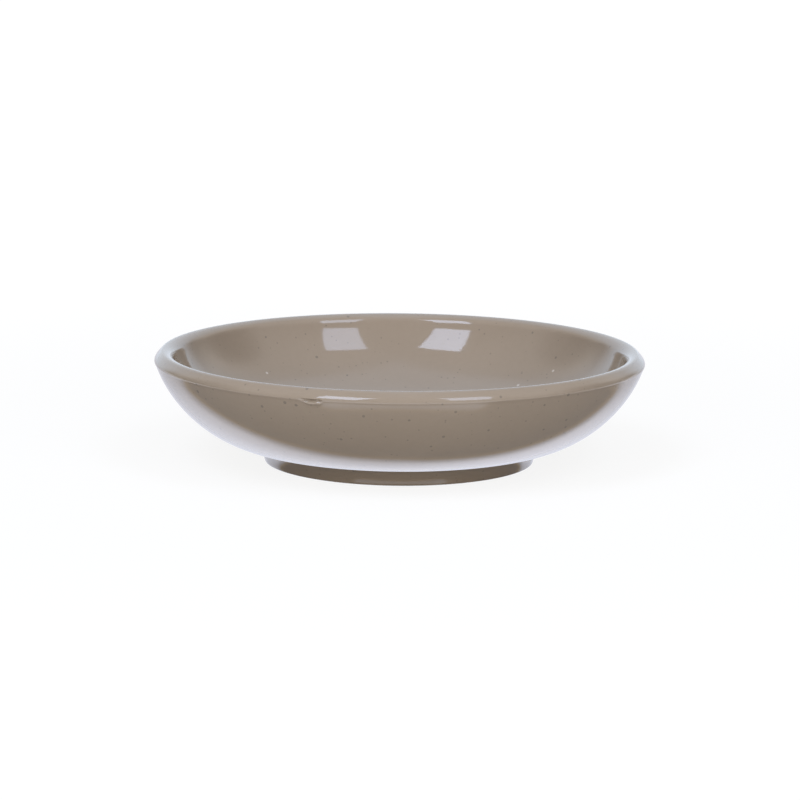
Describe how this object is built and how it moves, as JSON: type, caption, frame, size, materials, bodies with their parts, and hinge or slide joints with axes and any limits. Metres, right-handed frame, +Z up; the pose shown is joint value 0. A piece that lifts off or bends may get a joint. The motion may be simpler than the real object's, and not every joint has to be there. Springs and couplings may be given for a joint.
{
  "type": "soy sauce dish",
  "caption": "Small round shallow dish for soy sauce or dips: glazed stoneware bowl with a rolled rim on a low foot ring.",
  "frame": {"origin": "centre of the face that the foot ring stands on", "axes": "+Z up, along the dish's axis of turning"},
  "size_m": [0.1, 0.1, 0.0229],
  "materials": {
    "clay": "bare fired stoneware clay, fine and matt",
    "glaze": "high gloss taupe glaze with fine dark specks"
  },
  "bodies": {
    "root": {"clay_bowl": "clay", "foot_ring": "clay", "inside_glaze": "glaze", "outside_glaze": "glaze", "base_glaze": "glaze"}
  },
  "joints": []
}
